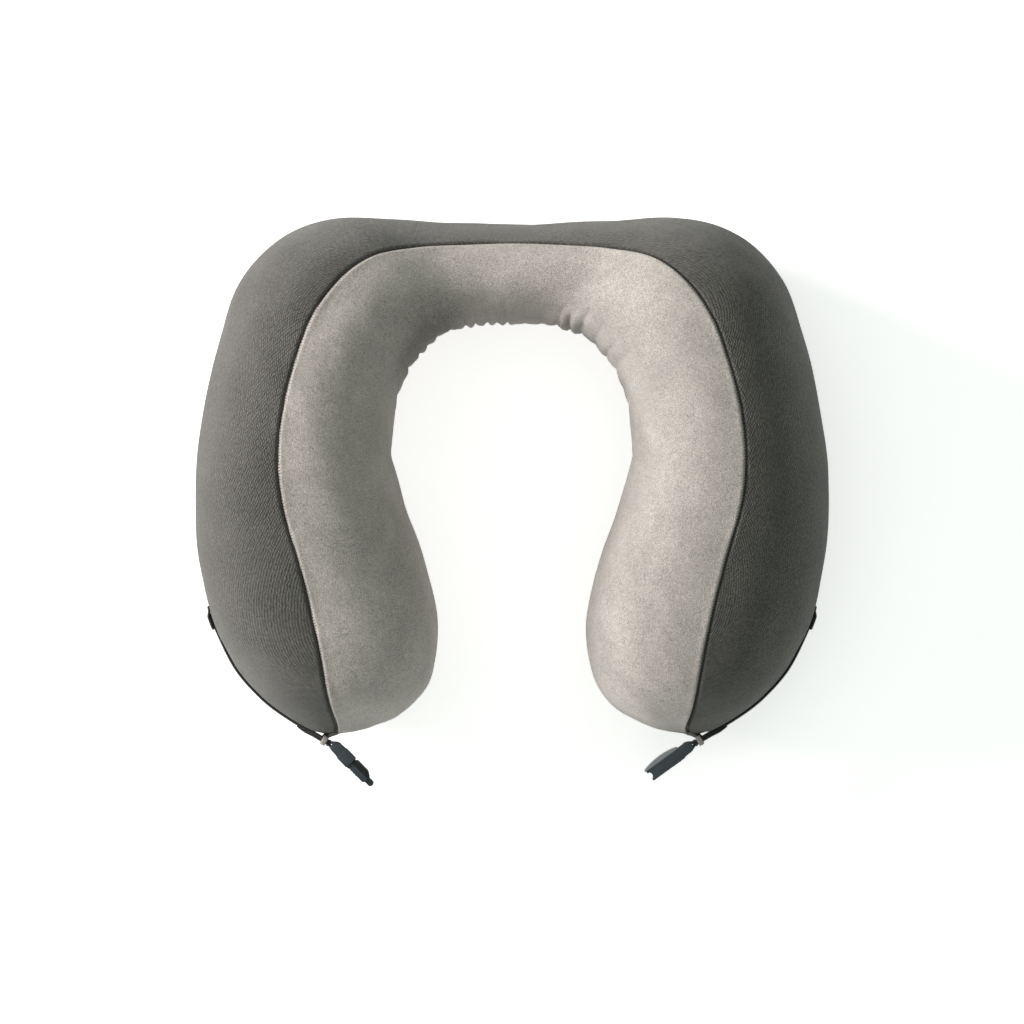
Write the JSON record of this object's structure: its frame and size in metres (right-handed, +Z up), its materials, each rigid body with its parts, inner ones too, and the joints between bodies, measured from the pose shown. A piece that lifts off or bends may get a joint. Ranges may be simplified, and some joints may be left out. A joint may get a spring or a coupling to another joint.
{
  "type": "u shaped neck pillow",
  "caption": "U-shaped foam neck pillow in a two-tone zipped cover, with elastic front straps and a two-part clasp.",
  "frame": {"origin": "on the rest plane, under the middle of the whole object's box", "axes": "+Z up along the neck, +Y towards the back of the neck, +X towards the right arm, with the receiver half of the clasp"},
  "size_m": [0.2718, 0.2452, 0.126],
  "materials": {
    "velour": "short soft pile, pale grey beige",
    "knit": "ribbed air knit, dark warm grey",
    "foam": null,
    "liner": "thin jersey",
    "thread": "matt sewing thread",
    "webbing": "woven elastic",
    "keeper": "folded pile fabric",
    "zip_tape": "herringbone tape",
    "zip_coil": "nylon coil",
    "zip_metal": "dark painted die casting",
    "clasp": "satin blue-grey moulding",
    "clasp_dark_cap": "satin black moulding",
    "clasp_grey_cap": "smooth grey moulding",
    "magnet": "plated disc magnet"
  },
  "bodies": {
    "pillow": {"foam_core": "foam", "liner_upper": "liner", "liner_lower": "liner", "neck_panel": "velour", "outer_panel": "knit", "seam_upper": "thread", "seam_lower": "thread", "zip_tape_upper": "zip_tape", "zip_tape_lower": "zip_tape", "zip_coil_upper": "zip_coil", "zip_coil_lower": "zip_coil", "zip_stops": "zip_coil", "strap_anchor_left": "webbing", "strap_anchor_right": "webbing", "tip_keeper_left": "keeper", "tip_keeper_right": "keeper"},
    "zip_slider": {"zip_slider": "zip_metal"},
    "zip_pull": {"zip_pull": "zip_metal"},
    "strap_end_left": {"strap_left": "webbing", "strap_stitch_left": "thread"},
    "strap_end_right": {"strap_right": "webbing", "strap_stitch_right": "thread"},
    "clasp_left": {"clasp_left_housing": "clasp", "clasp_left_magnet": "magnet", "clasp_left_cap": "clasp_dark_cap"},
    "clasp_right": {"clasp_right_housing": "clasp", "clasp_right_magnet": "magnet", "clasp_right_cap": "clasp_grey_cap"}
  },
  "joints": [
    {"name": "strap_left_stretch", "type": "slide", "parent": "pillow", "child": "strap_end_left", "axis": [0.864, -0.5036, 0], "range_m": [0, 0.035], "stiffness_N_per_m": 60, "deforming": ["strap_left"]},
    {"name": "strap_right_stretch", "type": "slide", "parent": "pillow", "child": "strap_end_right", "axis": [-0.864, -0.5036, 0], "range_m": [0, 0.035], "stiffness_N_per_m": 60, "deforming": ["strap_right"]},
    {"name": "clasp_left_swing", "type": "hinge", "parent": "strap_end_left", "child": "clasp_left", "pos_m": [-0.0755, -0.1052, 0.048], "axis": [0, 0, 1], "range_deg": [-85, 46]},
    {"name": "clasp_right_swing", "type": "hinge", "parent": "strap_end_right", "child": "clasp_right", "pos_m": [0.0755, -0.1052, 0.048], "axis": [0, 0, -1], "range_deg": [-85, 36]},
    {"name": "zip_slide", "type": "hinge", "parent": "pillow", "child": "zip_slider", "pos_m": [0, 1.14334, 0.014], "axis": [0, 0, -1], "range_deg": [0, 5.85]},
    {"name": "zip_pull_turn", "type": "hinge", "parent": "zip_slider", "child": "zip_pull", "pos_m": [0.05229, 0.12093, 0.01315], "axis": [0.0138, -0.27, -0.9628], "range_deg": [0, 165]}
  ]
}
